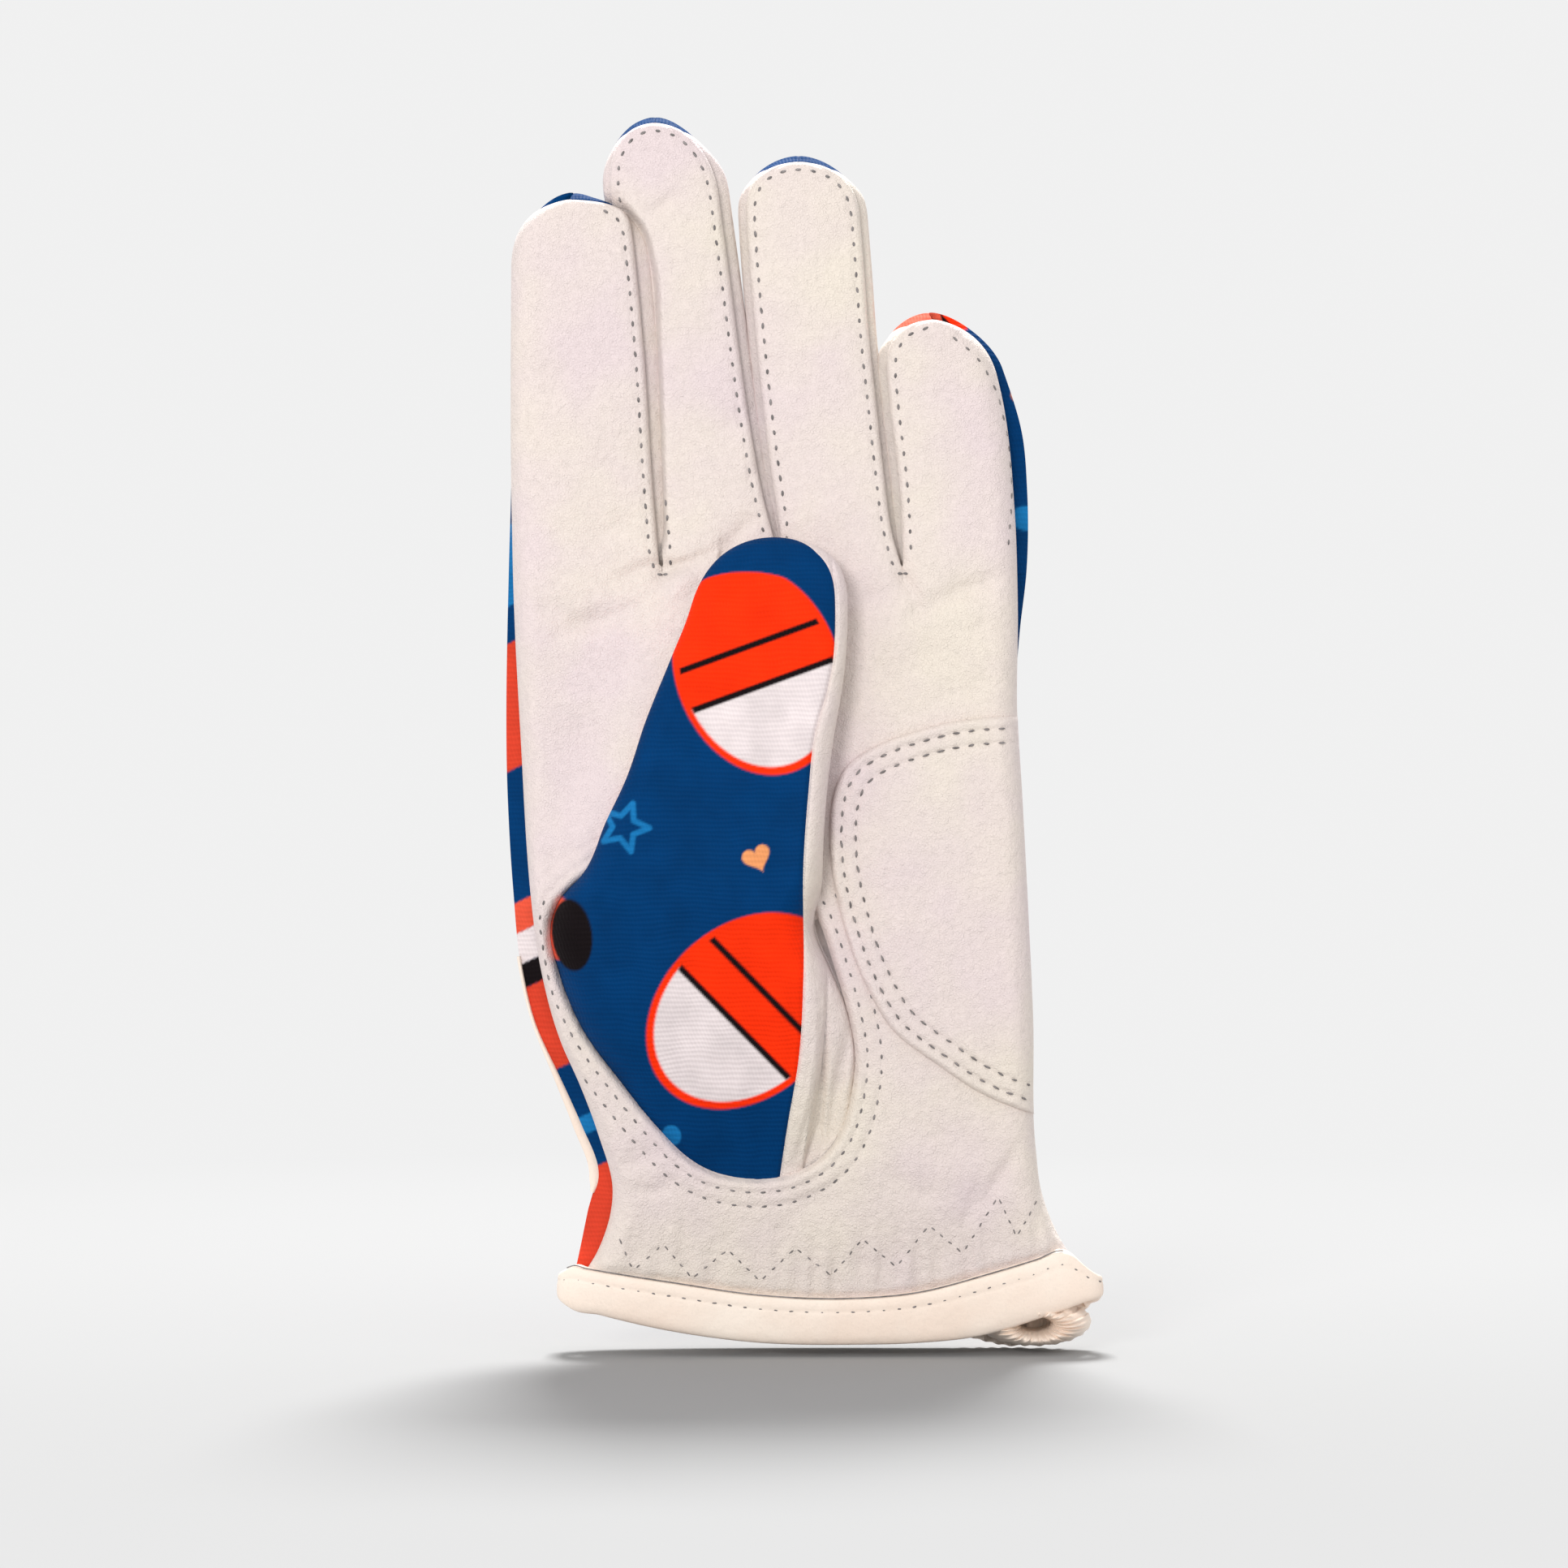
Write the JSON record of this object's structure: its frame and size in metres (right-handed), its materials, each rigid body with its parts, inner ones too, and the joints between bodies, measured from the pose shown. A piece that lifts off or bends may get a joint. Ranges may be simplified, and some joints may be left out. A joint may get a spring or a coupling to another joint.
{
  "type": "golf glove",
  "caption": "Left-hand golf glove with a leather palm, a printed stretch-knit back, a folded thumb, a raised heel patch, a bound cuff and a hook-and-loop tab.",
  "frame": {"origin": "centre of the opening at the cuff, at the lowest point of its edge", "axes": "+Z from the cuff to the fingertips, +Y out of the back of the hand, +X towards the little finger"},
  "size_m": [0.106, 0.0278, 0.2166],
  "materials": {
    "palm_leather": "soft matt sheepskin",
    "fourchette_leather": "soft matt sheepskin",
    "printed_knit": "ribbed stretch knit with a coloured print",
    "cream_binding": "soft matt",
    "tab_leather": "soft matt",
    "elastic": "woven tape",
    "loop": "brushed loop",
    "hook": "moulded hooks",
    "thread": "twisted sewing thread"
  },
  "bodies": {
    "hand": {"palm_panel": "palm_leather", "back_panel": "printed_knit", "thumb_gusset": "printed_knit", "heel_patch": "palm_leather", "cuff_binding": "cream_binding", "wrist_elastic": "elastic", "back_elastic": "elastic", "slit_binding": "cream_binding", "loop_patch": "loop"},
    "index_finger": {"index_front": "palm_leather", "index_back": "printed_knit", "index_fourchette": "fourchette_leather"},
    "middle_finger": {"middle_front": "palm_leather", "middle_back": "printed_knit", "middle_fourchette_index_side": "fourchette_leather", "middle_fourchette_ring_side": "fourchette_leather"},
    "ring_finger": {"ring_front": "palm_leather", "ring_back": "printed_knit", "ring_fourchette_middle_side": "fourchette_leather", "ring_fourchette_little_side": "fourchette_leather"},
    "little_finger": {"little_front": "palm_leather", "little_back": "printed_knit", "little_fourchette": "fourchette_leather"},
    "thumb": {"thumb_back": "printed_knit", "thumb_front": "palm_leather"},
    "tab": {"closure_tab": "tab_leather", "hook_patch": "hook"}
  },
  "joints": [
    {"name": "index_curl", "type": "hinge", "parent": "hand", "child": "index_finger", "pos_m": [-0.044, -0.0055, 0.1435], "axis": [1, 0, 0], "range_deg": [0, 85]},
    {"name": "middle_curl", "type": "hinge", "parent": "hand", "child": "middle_finger", "pos_m": [-0.02, -0.0055, 0.1435], "axis": [1, 0, 0], "range_deg": [0, 85]},
    {"name": "ring_curl", "type": "hinge", "parent": "hand", "child": "ring_finger", "pos_m": [0.001, -0.0055, 0.1435], "axis": [1, 0, 0], "range_deg": [0, 85]},
    {"name": "little_curl", "type": "hinge", "parent": "hand", "child": "little_finger", "pos_m": [0.0235, -0.0055, 0.1435], "axis": [1, 0, 0], "range_deg": [0, 85]},
    {"name": "thumb_lift", "type": "hinge", "parent": "hand", "child": "thumb", "pos_m": [-0.023, -0.0131, 0.072], "axis": [1, 0, 0], "range_deg": [0, 60]},
    {"name": "tab_peel", "type": "hinge", "parent": "hand", "child": "tab", "pos_m": [-0.0147, 0.0096, 0.0325], "axis": [0, 0, 1], "range_deg": [0, 140]}
  ]
}
